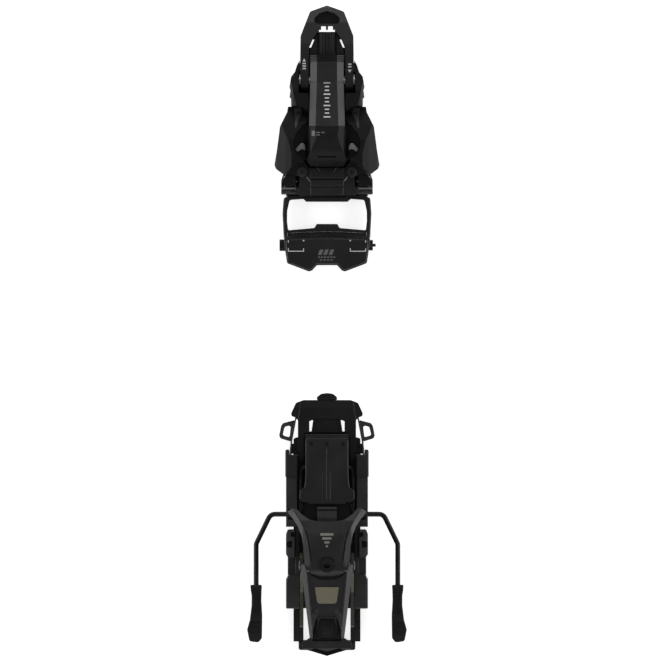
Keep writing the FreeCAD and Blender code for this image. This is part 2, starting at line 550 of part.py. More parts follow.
# ---------------------------------------------------------------- heel carriage
def heel_carriage():
    sides = []
    for side in (1, -1):
        def block(x, y, z):
            return box((side * x[0], side * x[1]), y, z)
        sides += [
            block((ARM_IN, ARM_OUT), (-116.3, -155.8), (CARRIAGE_LOW, ARM_TOP)),
            block((26.9, ARM_OUT), (-116.3, -155.8), (0.8, CARRIAGE_LOW)),
            block((25.4, 27), (-116.3, -155.8), (0.8, 4.6)),
            block((22.0, 25.0), (-155.8, -193.7), (CARRIAGE_LOW, 20)),
            block((22.0, 31.0), (-180.3, -193.8), (CARRIAGE_LOW, 17)),
            block((26.9, 31.0), (-180.3, -193.8), (0.8, CARRIAGE_LOW)),
        ]
        rear = prism([(side * p[0],) + tuple(p[1:]) for p in [(22, -193.7), (30.8, -193.7, 2),
                                                              (ARM_OUT, -198.5, 3), (ARM_OUT, -220.6, 1),
                                                              (22, -220.6)]], CARRIAGE_LOW, 20)
        sides.append(soften(rear, 2.2, lambda e: top_edges(20)(e) and abs(e.CenterOfMass.x) > 29,
                            chamfer=True))
        sides.append(block((26.9, ARM_OUT), (-197, -220.6), (0.8, CARRIAGE_LOW + 0.1)))
        sides.append(block((25.4, 27), (-197, -220.6), (0.8, 4.6)))
    deck = box((-24, 24), (-116.3, -220.6), (CARRIAGE_LOW, DECK_TOP))
    bearings = [box((-7.5, 7.5), (-196, -200), (CARRIAGE_LOW, 15)), box((-7.5, 7.5), (-216.8, -220.6),
                                                                        (CARRIAGE_LOW, 15))]
    cam = prism([(-159, DECK_TOP), (-159, 17, 1), (-163, 21.4, 1.5), (-171, 20.4, 1.5), (-175, DECK_TOP)],
                -6.5, 6.5, "YZ")
    body = join(deck, cam, *bearings, *sides)
    y, z = BRAKE_PIVOT
    body = cut(body, cross_rod(WIRE_R + RUNNING, (-40, 40), y, z),
               long_rod(2.5 + RUNNING, (-190, -230), 0, SCREW_Z), long_rod(4.0, (-200.2, -216.6), 0, SCREW_Z),
               box((-4.2, 4.2), (-200.1, -216.7), (0, 30)), cross_rod(5.2, (25.2, 30.6), y, z),
               cross_rod(5.2, (-30.6, -25.2), y, z))
    scale_marks = [box((side * (ARM_OUT - 0.5), side * 40), (-145 - 1.6 * i, -145.8 - 1.6 * i), (12, 40))
                   for i in range(6) for side in (1, -1)]
    body = cut(body, *scale_marks)
    keep("heel_carriage", soften(body, 1.2, lambda e: top_edges(ARM_TOP)(e) and abs(e.CenterOfMass.x) > 32.3))


def carriage_trim():
    cap = join(prism([(23.6, -99, 1), (29.4, -99), (29.8, -94.8, 1), (33.0, -94.8, 1.5), (33.0, -116.2),
                      (23.6, -116.2)], CARRIAGE_LOW, 23), box((26.9, 33.0), (-100, -116.2),
                                                              (0.8, CARRIAGE_LOW + 0.1)))
    cap = soften(cap, 1.2, lambda e: top_edges(23)(e) and e.CenterOfMass.x > 29)
    groove = box((31.9, 34), (-101, -113), (12, 17))
    pin_seat = cross_rod(2.0, (20, 27.2), *RISER_PIVOT)
    keep("carriage_front_caps", pair(cut(cap, pin_seat, groove)))

    cover = prism([(25.2, -158.2, 1), (31.2, -158.2, 2), (ARM_OUT, -162, 2), (ARM_OUT, -177.5, 1),
                   (30.6, -180.2), (25.2, -180.2)], 0.8, 27)
    cover = cut(cover, box((20, 26.9), (-150, -190), (0, CARRIAGE_LOW)))
    slope = prism([(24, 28), (34, 28), (34, 20.5), (30.6, 24.4)], -190, -150, "XZ")
    notch = prism([(-165, 30), (-168.6, 21.4), (-171.4, 21.4), (-173, 30)], 27.4, 34, "YZ")
    dent = prism([(-160, 24.6), (-163, 24.6), (-164.6, 28), (-160, 28)], 24, 28.6, "YZ")
    keep("heel_side_covers", pair(soften(cut(cover, slope, notch, dent), 0.5, upright)))


def chassis():
    """Bronze-coloured side plates that carry the jaw's axle."""
    y, z = JAW_PIVOT
    plate = prism([(-176, DECK_TOP), (-176, 30, 3), (-180, 35.4, 4), (-192, 35.4, 5), (-198, 28, 4),
                   (-207, 20.6, 6), (-235.4, 17.6, 1.5), (-235.4, CARRIAGE_LOW), (-220.7, CARRIAGE_LOW),
                   (-220.7, DECK_TOP)], 18.9, 21.4, "YZ")
    axle_seat = cross_rod(JAW_PIN_R, (10, 30), y, z)
    slots = [prism([(-203.0 - 10 * i, 13), (-203.0 - 10 * i, 16, 1), (-208.0 - 10 * i, 16, 1),
                    (-208.0 - 10 * i, 13)], 10, 30, "YZ") for i in range(2)]
    keep("heel_chassis", pair(cut(plate, axle_seat, *slots)))
    axle = cross_rod(JAW_PIN_R, (-21.9, 21.9), y, z)
    heads = [cross_rod(4.0, (side * 21.4, side * 21.95), y, z) for side in (1, -1)]
    keep("jaw_axle", join(axle, *heads))


def length_screw():
    stem = long_rod(2.5, (-196, -221), 0, SCREW_Z)
    thread = [long_rod(3.7, (-201.2 - 2 * i, -202.3 - 2 * i), 0, SCREW_Z) for i in range(7)]
    head = cut(long_rod(3.9, (-221, -226), 0, SCREW_Z), box((-0.6, 0.6), (-224.6, -227), (0, 20)))
    keep("length_screw", join(stem, long_rod(3.1, (-200.6, -216.2), 0, SCREW_Z), head, *thread))


def side_loops():
    ring = cut(prism([(25.2, -71.4, 0.8), (34.8, -73.9, 1.6), (36.3, -76.0, 1.6), (37.9, -83.9, 1.6),
                      (36.7, -86.1, 1.4), (28.7, -88.5, 0.8)], 10.6, 13.4),
               prism([(28.7, -77.0, 0.5), (30.0, -76.0, 0.5), (33.2, -76.8, 0.6), (33.8, -78.4, 0.8),
                      (34.9, -82.9, 0.5), (34.0, -83.9, 0.5), (30.3, -84.9, 0.5), (29.5, -84.2, 0.5)], 10,
                     14))
    strip = prism([(24.0, -69.6), (25.2, -69.6), (28.9, -88.6), (29.3, -99.0), (28.1, -99.0), (27.6, -88.6)],
                  8.5, 14.5)
    keep("side_loops", pair(join(ring, strip)))


# ---------------------------------------------------------------- climbing aid
def climbing_aid():
    y, z = RISER_PIVOT
    outline = whole([(0, -55.6), (18.6, -55.6, 3), (24.6, -57.8, 3), (28.4, -66.2, 2), (28.0, -68.2, 1.2),
                     (25.2, -69.4, 1), (23.0, -71.5, 1), (22.9, -104.4, 1.5), (18.4, -104.4, 1),
                     (18.4, -81.4, 0.5), (0, -80.8)])
    side = prism([(-104.6, 11, 3), (-104.6, 19.2, 3), (-97, 19.4, 5), (-84, 22, 10), (-62, 21.4, 6),
                  (-55.2, 19.6, 1.5), (-55.2, 16.6, 1.5), (-84, 16.6, 8), (-96, 11, 3)], -30, 30, "YZ")
    plate = common(prism(outline, 0, 60), side)
    windows = [prism([(side * 10.9, -71.2, 0.5), (side * 13.9, -72.4, 0.8), (side * 13.9, -82),
                      (side * 12.5, -82)], 0, 60) for side in (1, -1)]
    sunk = prism(whole([(10.2, -70.2, 1), (11.8, -82)]), 20.4, 60)
    plate = cut(plate, cross_rod(2.0 + RUNNING, (-30, 30), y, z), sunk, *windows)
    flank = prism([(25.6, 30), (31, 30), (31, 16.8), (29.4, 16.8)], -50, -70, "XZ")
    plate = cut(plate, flank, mirrored(flank))
    keep("climbing_aid", soften(plate, 0.8, lambda e: e.BoundBox.ZMin > 18.5 and e.CenterOfMass.y > -56.5))

    tab = prism(whole([(8.0, -55.4), (8.0, -53.2, 2), (4.6, -50.6, 4), (0, -50.0)]), 15.6, 20.6)
    grooves = [box((-9, 9), (-51.6 - 1.5 * i, -52.2 - 1.5 * i), (20.1, 21)) for i in range(3)]
    keep("climbing_aid_tab", cut(soften(tab, 1.2, top_edges(20.6)), *grooves))
    keep("climbing_aid_pins", pair(cross_rod(2.0, (17.8, 27.2), y, z)))


# ---------------------------------------------------------------- brake
def brake():
    y, z = BRAKE_PIVOT
    plan = whole([(0, -85.5), (15.6, -85.5, 2), (17, -87.5, 2), (17, -117, 6), (18.0, -124.6, 0.6),
                  (21.6, -126.8, 1), (21.9, -133.6, 2), (18.8, -136.2, 1), (14.5, -136.6, 0.5),
                  (13.4, -138.1, 0.5), (0, -138.1)])
    pedal = soften(prism(plan, PEDAL_LOW, PEDAL_TOP), 0.9, top_edges(PEDAL_TOP))
    grooves = [box((-0.35, 0.35), (-94, -137), (PEDAL_TOP - 0.5, 30)), box((2.6, 3.2), (-113, -136),
                                                                           (PEDAL_TOP - 0.5, 30)),
               box((-3.2, -2.6), (-113, -136), (PEDAL_TOP - 0.5, 30))]
    pedal = cut(pedal, *grooves, *[post(1.9, x, -90.2, (PEDAL_TOP - 1.4, 30)) for x in (-12.6, 0, 12.6)])
    lip = box((-17.4, 17.4), (-82.9, -86.5), (16.4, 21.4))
    web = box((-16, 16), (-84.5, -90), (16.4, 22.2))
    ribs = [box((side * 11, side * 17), (-105.4, -113), (16, 22.2)) for side in (1, -1)]
    pedal = join(pedal, lip, web, *ribs)
    pedal = cut(pedal, cross_rod(WIRE_R + RUNNING, (-24, 24), BRAKE_HINGE_Y, z))
    keep("brake_pedal", pedal)
    bolts = [cut(post(1.9, x, -90.2, (PEDAL_TOP - 1.4, PEDAL_TOP - 0.4)),
                 cross_recess(x, -90.2, PEDAL_TOP - 0.4, 1.1, 0.6)) for x in (-12.6, 0, 12.6)]
    keep("brake_pedal_screws", Part.makeCompound(bolts))

    keep("brake_arms", pair(brake_wire([(11.5, BRAKE_HINGE_Y), (WIRE_IN, BRAKE_HINGE_Y, 3.2),
                                        (WIRE_IN, y, 3.2), (44.6, y, 5.5), (56.0, -169.4, 6), (56.0, -206.0)],
                                       z)))
    keep("brake_tips", pair(brake_tip(z)))
    springs = [coil(3.4, 0.65, 5, (side * 25.4, y, z), (side * 30.4, y, z)) for side in (1, -1)]
    keep("brake_springs", Part.makeCompound(springs))


def brake_wire(stops, z):
    """A bent round wire through points of one level, each bend with its own radius."""
    edges = []
    last = Vector(*stops[0][:2], z)
    for i in range(1, len(stops) - 1):
        start, middle, end = rounded_corner(stops[i - 1][:2], stops[i][:2], stops[i + 1][:2], stops[i][2])
        for v in (start, middle, end):
            v.z = z
        edges += [Part.LineSegment(last, start).toShape(), Part.Arc(start, middle, end).toShape()]
        last = end
    edges.append(Part.LineSegment(last, Vector(*stops[-1][:2], z)).toShape())
    path = Part.Wire(edges)
    start = Vector(*stops[0][:2], z)
    towards = Vector(*stops[1][:2], z) - start
    section = Part.Wire(Part.makeCircle(WIRE_R, start, towards))
    return path.makePipeShell([section], True, False)


def brake_tip(z):
    """Moulded brake foot: waisted grip outline, bulging outwards near its end."""
    plan = prism([(51.4, -201.8, 1.2), (60.6, -201.8, 0.8), (60.3, -206, 2), (59.6, -210, 2), (59.6, -218, 4),
                  (60.2, -223, 3), (61.0, -229.5, 6), (63.2, -237, 4), (61.4, -246.4, 2.5),
                  (54.2, -247.4, 2.5), (51.4, -244, 3), (51.2, -226, 10), (51.9, -214, 4), (51.7, -206, 3)],
                 0, 40)
    side = prism([(-201.8, z - 4.4), (-201.8, z + 4.4), (-206, z + 4.2, 3), (-211, z + 3.6, 4),
                  (-217, z + 4.3, 4), (-228, z + 4.2, 8), (-247.4, z + 2.4, 2), (-247.4, z - 6.2, 3),
                  (-233, z - 7.4, 10), (-221, z - 4.6, 8), (-211, z - 3.8, 4), (-206, z - 4.4, 3)], 40, 70,
                 "YZ")
    tip = common(plan, side)
    tip = soften(tip, 0.9, lambda e: e.BoundBox.ZLength < 3 and e.Length > 2.5)
    return cut(tip, long_rod(WIRE_R, (-200, -206.0), 56.0, z))


# ---------------------------------------------------------------- jaw and heel lever
JAW_PLAN = [(0, -151.2), (8, -150.8, 6), (14, -149.4, 4), (20, -145.2, 4), (23.9, -140.8, 0.8),
            (27.4, -141.0, 1.2), (31.4, -143.4, 1.2), (26.9, -148.4, 8), (22.9, -154.6, 12),
            (19.8, -162.4, 14), (18.4, -171, 10), (18.2, -180.3, 6), (16.4, -187.0, 6), (11.9, -192.8, 5),
            (5.5, -195.5, 6), (0, -196)]
JAW_SIDE_TOP = [(-140, 58.5), (-142, 60.4, 1.5), (-150, 64.6, 12), (-162, 68.6, 20), (-178, JAW_TOP, 20),
                (-190, 67.4, 8), (-197, 62.6, 2)]
JAW_SECTION = [(33, 20), (33, 53.5), (27, 59.6, 4), (19.5, 66.2, 8), (12, 69.2, 10), (0, 70)]


def jaw_form(rise):
    """The jaw's outer form with its top raised, so that trims can follow it."""
    top = [(p[0], p[1] + rise) + tuple(p[2:]) for p in JAW_SIDE_TOP]
    section = JAW_SECTION[:1] + [(p[0], p[1] + rise) + tuple(p[2:]) for p in JAW_SECTION[1:]]
    side = prism([(-197.5, 22.4), (-140, 22.4)] + top + [(-197.5, 60)], -40, 40, "YZ")
    return common(prism(whole(JAW_PLAN), 0, 90), side, prism(whole(section), -200, -135, "XZ"))


def heel_jaw():
    y, z = JAW_PIVOT
    form = jaw_form(0)
    boot_heel = post(33.8, 0, -117.6, (10, 56.5))
    below = prism([(-120, 10), (-120, 46.5), (-160, 46.5, 3), (-163, 42, 2), (-163, 10)], 18.2, 40, "YZ")
    rear_below = prism([(-150, 10), (-150, 44), (-200, 44), (-200, 10)], 18.2, 40, "YZ")
    underside = prism([(-135, 10), (-135, 22.4), (-150, 22.4), (-176, 22.6), (-198, 24), (-198, 10)], -40, 40,
                      "YZ")
    tail = prism([(-193, 10), (-193, 30, 6), (-197.6, 50), (-205, 50), (-205, 10)], -40, 40, "YZ")
    body = cut(form, boot_heel, below, mirrored(below), rear_below, mirrored(rear_below), underside, tail)
    spring_top, spring_foot = Vector(0, -186, 72), Vector(0, -170.5, 22)
    way = rod(7.4, tuple(spring_foot), tuple(spring_foot + (spring_top - spring_foot) * 0.80))
    screw_way = rod(6.0, tuple(spring_foot), tuple(spring_top))
    nose_way = rod(5.0, tuple(spring_foot), tuple(spring_foot * 1.2 - spring_top * 0.2))
    ear_holes = cross_rod(JAW_PIN_R + RUNNING, (-30, 30), y, z)
    lever_holes = [cross_rod(2.0, (side * LEVER_PIN_X[0], side * 30), *LEVER_HINGE) for side in (1, -1)]
    boot_face = box((-13, 13), (-148, TREADLE_SEAT), (20, 44))
    body = cut(body, way, screw_way, nose_way, ear_holes, boot_face, *lever_holes)
    keep("heel_jaw", body)

    band = [(28.9, -142.3, 1), (31.2, -144.6, 0.8), (26.0, -150.4, 10), (22.2, -157.4, 14),
            (19.7, -164.8, 14), (17.8, -176, 14), (16.2, -186.0, 3), (12.6, -186.6, 2), (13.6, -176, 14),
            (15.4, -164, 14), (18.2, -155.8, 14), (21.8, -149.4, 10), (25.6, -143.4, 1)]
    raised = cut(common(jaw_form(1.1), prism(band, 45, 90)), jaw_form(0))
    solids = sorted(raised.Solids, key=lambda s: -s.Volume)
    keep("jaw_trim", pair(solids[0]))
    treadle()
    jaw_spring(spring_foot, spring_top)


def treadle():
    roll = cross_rod(2.5, (-7.6, 7.6), -142.0, 25.6)
    tongue = prism([(-142, 23.4), (-142, 27.4), (-148.6, 29.8), (TREADLE_SEAT, 36.5), (TREADLE_SEAT, 24.4),
                    (-149, 23.4)], -7.6, 7.6, "YZ")
    tread = join(roll, tongue)
    keep("heel_treadle", soften(tread, 0.6, lambda e: abs(abs(e.CenterOfMass.x) - 7.6) < 0.1
                                and e.CenterOfMass.y > -145))


def jaw_spring(foot, top):
    """Release spring, its plunger below and its adjusting screw above, on one tilted axis."""
    axis = (top - foot)
    length = axis.Length
    axis.normalize()

    def along(distance):
        return tuple(foot + axis * distance)

    keep("jaw_release_spring", coil(5.3, 1.15, 5, along(11.5), along(33.5)))
    plunger = join(rod(7.2, along(7.5), along(11.2)), rod(4.2, along(2.2), along(7.6)),
                   rod(3.2, along(11.1), along(17)))
    nose = Part.makeSphere(4.2, foot + axis * 4.4)
    keep("jaw_plunger", join(plunger, nose))
    head = join(rod(5.9, along(42.0), along(length - 2.6)), rod(7.3, along(33.9), along(36.4)),
                rod(3.4, along(36.2), along(42.2)))
    side = Vector(1, 0, 0)
    corners = [math.radians(60 * i + 30) for i in range(7)]
    hexagon = [Vector(*along(length - 5.2)) + (side * math.cos(a) + axis.cross(side) * math.sin(a)) * 2.7
               for a in corners]
    socket = Part.Face(Part.Wire(Part.makePolygon(hexagon))).extrude(axis * 6)
    keep("jaw_adjuster", cut(head, socket))


def lever_section(half, top, low, bevel, y):
    return wire(whole([(half, low), (half, top - bevel), (half - bevel, top), (0, top)]), "XZ", y)


def heel_lever():
    main = Part.makeLoft([lever_section(20.6, 69.4, 57.4, 4.0, -184.6),
                          lever_section(13.5, 61.4, 54.6, 2.6, -243.2)], True, True)
    tail_side = prism([(-242, 54.7), (-242, 60.6), (-246, 59.8, 4), (-250.4, 61.0, 0.8), (-256.8, 57.0, 1),
                       (-256.8, 55.2), (-250, 53.4)], -25, 25, "YZ")
    tail_plan = prism(whole([(0, -242), (13.5, -242.4), (19.0, -245.8, 0.8), (19.8, -250.8, 1.2),
                             (12.6, -252.8), (0, -256.7)]), 40, 80)
    lever = join(main, common(tail_plan, tail_side))
    inside = Part.makeLoft([lever_section(17.0, 66.4, 50, 3.0, -184),
                            lever_section(13.0, 61.0, 50, 2.2, -222.0)], True, True)
    jaw_room = prism(whole([(0, -170), (18.0, -170), (18.0, -181), (17.2, -187.4, 6), (12.6, -193.4, 6),
                            (6, -196.4, 6), (0, -196.8)]), 40, 90)
    recess = common(prism(whole([(0, -190), (15.4, -190), (15.0, -197), (12.0, -221, 2), (9.2, -225, 2),
                                 (6.4, -226.2), (0, -226.2)]), 40, 90),
                    Part.makeLoft([lever_section(20, 90, 68.3, 1, -184.6),
                                   lever_section(20, 90, 60.3, 1, -243.2)], True, True))
    badge_plan = prism(whole([(9.4, -202.4, 0.6), (7.4, -215.2, 2.2)]), 40, 90)
    badge = common(badge_plan, prism([(-200, 64.9), (-200, 67.0), (-218, 64.4), (-218, 62.3)], -20, 20, "YZ"))
    pocket = prism(whole([(5.6, -226.8, 1), (9.2, -238.6, 1), (9.2, -242.6, 1), (0, -243.9)]), 58.2, 90)
    hollow = prism(whole([(6.0, -229.0, 0.8), (7.4, -240.2, 0.8)]), 40, 56.6)
    ribs = [box((1.45 * i - 0.4, 1.45 * i + 0.4), (-228.6, -239.8), (58.0, 59.6)) for i in range(-3, 4)]
    teeth = [box((1.2 * i - 0.3, 1.2 * i + 0.3), (-227.2, -228.2), (58.0, 60.8)) for i in range(-3, 4)]
    pivots = cross_rod(LEVER_PIN_R + RUNNING, (-30, 30), *LEVER_HINGE)
    lever = cut(lever, inside, jaw_room, recess, pocket, hollow, badge, pivots)
    keep("heel_lever", join(lever, *ribs, *teeth))
    keep("heel_lever_badge", badge)
    keep("heel_lever_pins", pair(cross_rod(LEVER_PIN_R, (LEVER_PIN_X[0], LEVER_PIN_X[1]), *LEVER_HINGE)))


# ---------------------------------------------------------------- build
def build():
    toe_baseplate()
    toe_spring_housing()
    toe_nose_guard()
    toe_adjuster()
    toe_spring_set()
    toe_hood()
    toe_side_covers()
    toe_lever()
    wings()
    toe_bridge()
    pin_arms()
    crampon_bracket()
    afd_frame()
    afd_unit()
    heel_track()
    heel_carriage()
    carriage_trim()
    chassis()
    length_screw()
    side_loops()
    climbing_aid()
    brake()
    heel_jaw()
    heel_lever()
    os.makedirs("parts", exist_ok=True)
    for name, shape in PARTS.items():
        shape.exportStep("parts/" + name + ".step")
    print(len(PARTS), "sub-parts")


build()
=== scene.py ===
import json
import math
import bmesh
import bpy
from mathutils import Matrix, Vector
from mathutils.bvhtree import BVHTree


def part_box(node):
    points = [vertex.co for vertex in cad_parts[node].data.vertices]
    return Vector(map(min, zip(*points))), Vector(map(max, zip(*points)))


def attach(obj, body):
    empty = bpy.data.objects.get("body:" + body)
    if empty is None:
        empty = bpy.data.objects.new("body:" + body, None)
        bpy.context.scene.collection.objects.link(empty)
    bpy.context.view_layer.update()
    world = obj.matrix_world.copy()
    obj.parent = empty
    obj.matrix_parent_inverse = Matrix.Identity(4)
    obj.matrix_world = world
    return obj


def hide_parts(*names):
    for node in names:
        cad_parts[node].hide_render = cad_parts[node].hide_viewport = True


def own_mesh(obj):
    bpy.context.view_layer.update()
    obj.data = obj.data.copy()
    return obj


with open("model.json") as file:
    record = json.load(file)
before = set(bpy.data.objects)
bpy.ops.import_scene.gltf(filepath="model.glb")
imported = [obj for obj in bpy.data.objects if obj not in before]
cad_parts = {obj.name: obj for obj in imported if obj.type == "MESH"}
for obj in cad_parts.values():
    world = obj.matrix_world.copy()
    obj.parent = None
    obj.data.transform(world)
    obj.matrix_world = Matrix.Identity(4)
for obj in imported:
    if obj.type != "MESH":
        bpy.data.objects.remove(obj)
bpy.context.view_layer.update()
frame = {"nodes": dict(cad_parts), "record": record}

MM = 0.001
NODES = frame["nodes"]
scene = bpy.context.scene

# Materials. A pattern's scale is in features per metre, so a larger number is finer.
NOISE_LOW = 0.3
NOISE_HIGH = 0.7
BEVEL_SAMPLES = 6
RED_PER_WARMTH = 0.36
BRIGHTEST_METAL = 0.9
CLOUD_SCALE = 55
RUB_SCALE = 380
SCUFF_SCALE = 420
PITS_PER_GRAIN = 0.55
LINE_SCALE = 260
STAIN_SCALE = 130
SPECK_SCALE = 1900
INK_COVER_SCALE = 2400
INK_BLOT_SCALE = 300
FLOOR_CLOUD_SCALE = 3
FLOOR_FIBRE_SCALE = 60
FLOOR_GLOW = 0.72

# Surface pieces. Rays start RAY_START millimetres above a node, and the underside of a piece that is laid on
# a node is SUNK millimetres inside it. The tolerance is in metres.
RAY_START = 10
SUNK = 0.15
CUT_TOLERANCE = 1e-7

# Stage, in metres except the lens and sensor, which are in millimetres.
FLOOR_HALF_SIZE = 3.0
FLOOR_CELLS = 24
WORLD_STRENGTH = 0.20
SENSOR_WIDTH = 36
LENS = 500
CAMERA_PLACE = (2.4 * MM, -0.2 * MM, 7.27)
CLIP_START = 0.5
CLIP_END = 30


# ------------------------------------------------------------------ materials
class Graph:
    """Shorthand for building one material's nodes."""

    def __init__(self, name):
        self.material = bpy.data.materials.new(name)
        self.material.use_nodes = True
        self.nodes = self.material.node_tree.nodes
        self.links = self.material.node_tree.links
        self.shader = self.nodes["Principled BSDF"]
        self.place = self.add("ShaderNodeTexCoord").outputs["Object"]

    def add(self, kind, **values):
        node = self.nodes.new(kind)
        for key, value in values.items():
            setattr(node, key, value)
        return node

    def feed(self, source, socket):
        """Links another node's output to the socket, or sets the socket to a plain value."""
        if isinstance(source, bpy.types.NodeSocket):
            self.links.new(source, socket)
        else:
            socket.default_value = source

    def noise(self, scale, detail, rough, stretch=(1, 1, 1), distortion=0.0):
        mapping = self.add("ShaderNodeMapping")
        mapping.inputs["Scale"].default_value = stretch
        self.feed(self.place, mapping.inputs["Vector"])
        node = self.add("ShaderNodeTexNoise")
        self.feed(mapping.outputs["Vector"], node.inputs["Vector"])
        node.inputs["Scale"].default_value = scale
        node.inputs["Detail"].default_value = detail
        node.inputs["Roughness"].default_value = rough
        node.inputs["Distortion"].default_value = distortion
        return node.outputs["Fac"]

    def cells(self, scale):
        node = self.add("ShaderNodeTexVoronoi")
        self.feed(self.place, node.inputs["Vector"])
        node.inputs["Scale"].default_value = scale
        return node.outputs["Distance"]

    def span(self, value, low, high, to_low=0.0, to_high=1.0):
        """Maps low to high onto to_low to to_high, and holds what lies outside at the ends."""
        node = self.add("ShaderNodeMapRange")
        self.feed(value, node.inputs["Value"])
        limits = {"From Min": low, "From Max": high, "To Min": to_low, "To Max": to_high}
        for key, number in limits.items():
            node.inputs[key].default_value = number
        return node.outputs["Result"]

    def spread(self, noise, to_low=0.0, to_high=1.0):
        """Maps the middle part of a noise, where most of it lies, onto to_low to to_high."""
        return self.span(noise, NOISE_LOW, NOISE_HIGH, to_low, to_high)

    def math(self, operation, a, b):
        node = self.add("ShaderNodeMath", operation=operation)
        self.feed(a, node.inputs[0])
        self.feed(b, node.inputs[1])
        return node.outputs[0]

    def blend(self, share, a, b):
        node = self.add("ShaderNodeMix", data_type="RGBA")
        self.feed(share, node.inputs["Factor"])
        self.feed(a, node.inputs["A"])
        self.feed(b, node.inputs["B"])
        return node.outputs["Result"]

    def edges(self, radius, sharpness):
        """Soft normals along edges, and a mask of where those edges are. The radius is in millimetres."""
        bevel = self.add("ShaderNodeBevel", samples=BEVEL_SAMPLES)
        bevel.inputs["Radius"].default_value = radius * MM
        geometry = self.add("ShaderNodeNewGeometry")
        dot = self.add("ShaderNodeVectorMath", operation="DOT_PRODUCT")
        self.feed(bevel.outputs["Normal"], dot.inputs[0])
        self.feed(geometry.outputs["True Normal"], dot.inputs[1])
        mask = self.span(dot.outputs["Value"], 1.0, 1.0 - sharpness)
        return bevel.outputs["Normal"], mask

    def bump(self, height, depth, normal):
        """A bumped normal. The depth is in millimetres."""
        node = self.add("ShaderNodeBump")
        node.inputs["Strength"].default_value = 1.0
        node.inputs["Distance"].default_value = depth * MM
        self.feed(height, node.inputs["Height"])
        self.feed(normal, node.inputs["Normal"])
        return node.outputs["Normal"]

    def finish(self, colour, roughness, **values):
        """Joins the patterns to the shader, and sets what is the same all over the surface."""
        self.feed(colour, self.shader.inputs["Base Color"])
        self.feed(roughness, self.shader.inputs["Roughness"])
        for key, value in values.items():
            self.feed(value, self.shader.inputs[key.replace("_", " ")])
        return self.material


def grey(value, warmth=0.0):
    """A grey that turns browner as its warmth rises."""
    return (value * (1 + RED_PER_WARMTH * warmth), value, value * (1 - warmth), 1.0)


def moulded(name, tone, rough, grain=2600, depth=0.02, wear=0.10, specular=0.5):
    """Moulded plastic or rubber: spark-eroded grain, cloudy tone, rubbed edges and faint scuffs.

    The grain is a scale, its depth is in millimetres, and wear is how much paler a rubbed edge is.
    """
    g = Graph(name)
    soft, rim = g.edges(radius=0.35, sharpness=0.35)
    fine = g.noise(grain, detail=2.0, rough=0.6)
    pits = g.cells(grain * PITS_PER_GRAIN)
    cloud = g.noise(CLOUD_SCALE, detail=3.0, rough=0.55)
    scuff = g.noise(SCUFF_SCALE, detail=3.0, rough=0.7, stretch=(1.0, 0.12, 1.0), distortion=0.4)
    patchy = g.noise(RUB_SCALE, detail=3.0, rough=0.7)
    scuffed = g.span(scuff, 0.60, 0.74)
    rubbed = g.math("MULTIPLY", rim, g.span(patchy, 0.38, 0.66, 0.15, 1.0))

    dark_cloud = grey(tone * 0.82)
    pale_cloud = grey(tone * 1.2)
    scuff_tone = grey(tone * 2.2 + 0.01)
    rubbed_tone = grey(tone + wear)
    colour = g.blend(g.spread(cloud), dark_cloud, pale_cloud)
    colour = g.blend(g.math("MULTIPLY", scuffed, 0.22), colour, scuff_tone)
    colour = g.blend(g.math("MULTIPLY", rubbed, 0.6), colour, rubbed_tone)

    roughness = g.spread(cloud, rough - 0.05, rough + 0.06)
    roughness = g.math("SUBTRACT", roughness, g.math("MULTIPLY", rubbed, 0.06))
    roughness = g.math("ADD", roughness, g.math("MULTIPLY", scuffed, 0.05))
    roughness = g.math("ADD", roughness, g.spread(fine, -0.04, 0.04))

    height = g.math("ADD", fine, g.math("MULTIPLY", pits, 0.6))
    return g.finish(colour, roughness, Normal=g.bump(height, depth, soft), Specular_IOR_Level=specular)


def metal(name, tone, rough, stretch=(1, 30, 30), warmth=0.0, wear=0.25, tarnish=0.5):
    """Drawn, stamped or anodised metal: fine lines along one way, a stain and bright rubbed edges.

    The lines run along the axes that stretch leaves at 1, and tarnish is the share of the tone a stain keeps.
    """
    g = Graph(name)
    soft, rim = g.edges(radius=0.2, sharpness=0.3)
    lines = g.noise(LINE_SCALE, detail=4.0, rough=0.7, stretch=stretch)
    stain = g.noise(STAIN_SCALE, detail=4.0, rough=0.6)
    speck = g.noise(SPECK_SCALE, detail=2.0, rough=0.6)
    rubbed = g.math("MULTIPLY", rim, g.span(speck, 0.35, 0.6, 0.3, 1.0))

    stained_tone = grey(tone * tarnish, warmth * 1.2)
    line_tone = grey(tone * 1.35, warmth)
    rubbed_tone = grey(min(tone + wear, BRIGHTEST_METAL), warmth)
    colour = g.blend(g.span(stain, 0.35, 0.7), grey(tone, warmth), stained_tone)
    colour = g.blend(g.math("MULTIPLY", g.span(lines, 0.4, 0.7), 0.35), colour, line_tone)
    colour = g.blend(g.math("MULTIPLY", rubbed, 0.7), colour, rubbed_tone)

    roughness = g.spread(stain, rough - 0.06, rough + 0.08)
    roughness = g.math("ADD", roughness, g.spread(lines, -0.06, 0.06))

    height = g.math("ADD", lines, g.math("MULTIPLY", speck, 0.5))
    return g.finish(colour, roughness, Normal=g.bump(height, 0.012, soft), Metallic=1.0)


def printed(name, tone, warmth=0.0):
    """Pad-printed ink: slightly uneven cover and a few pinholes."""
    g = Graph(name)
    cover = g.noise(INK_COVER_SCALE, detail=2.0, rough=0.6)
    blot = g.noise(INK_BLOT_SCALE, detail=3.0, rough=0.6)
    thin_tone = grey(tone * 0.78, warmth)
    pinhole_tone = grey(tone * 0.25, warmth)
    colour = g.blend(g.span(blot, 0.35, 0.7), grey(tone, warmth), thin_tone)
    colour = g.blend(g.span(cover, 0.66, 0.74, 0.0, 0.7), colour, pinhole_tone)
    flat = g.add("ShaderNodeNewGeometry").outputs["Normal"]
    return g.finish(colour, g.spread(cover, 0.42, 0.58), Normal=g.bump(cover, 0.01, flat))


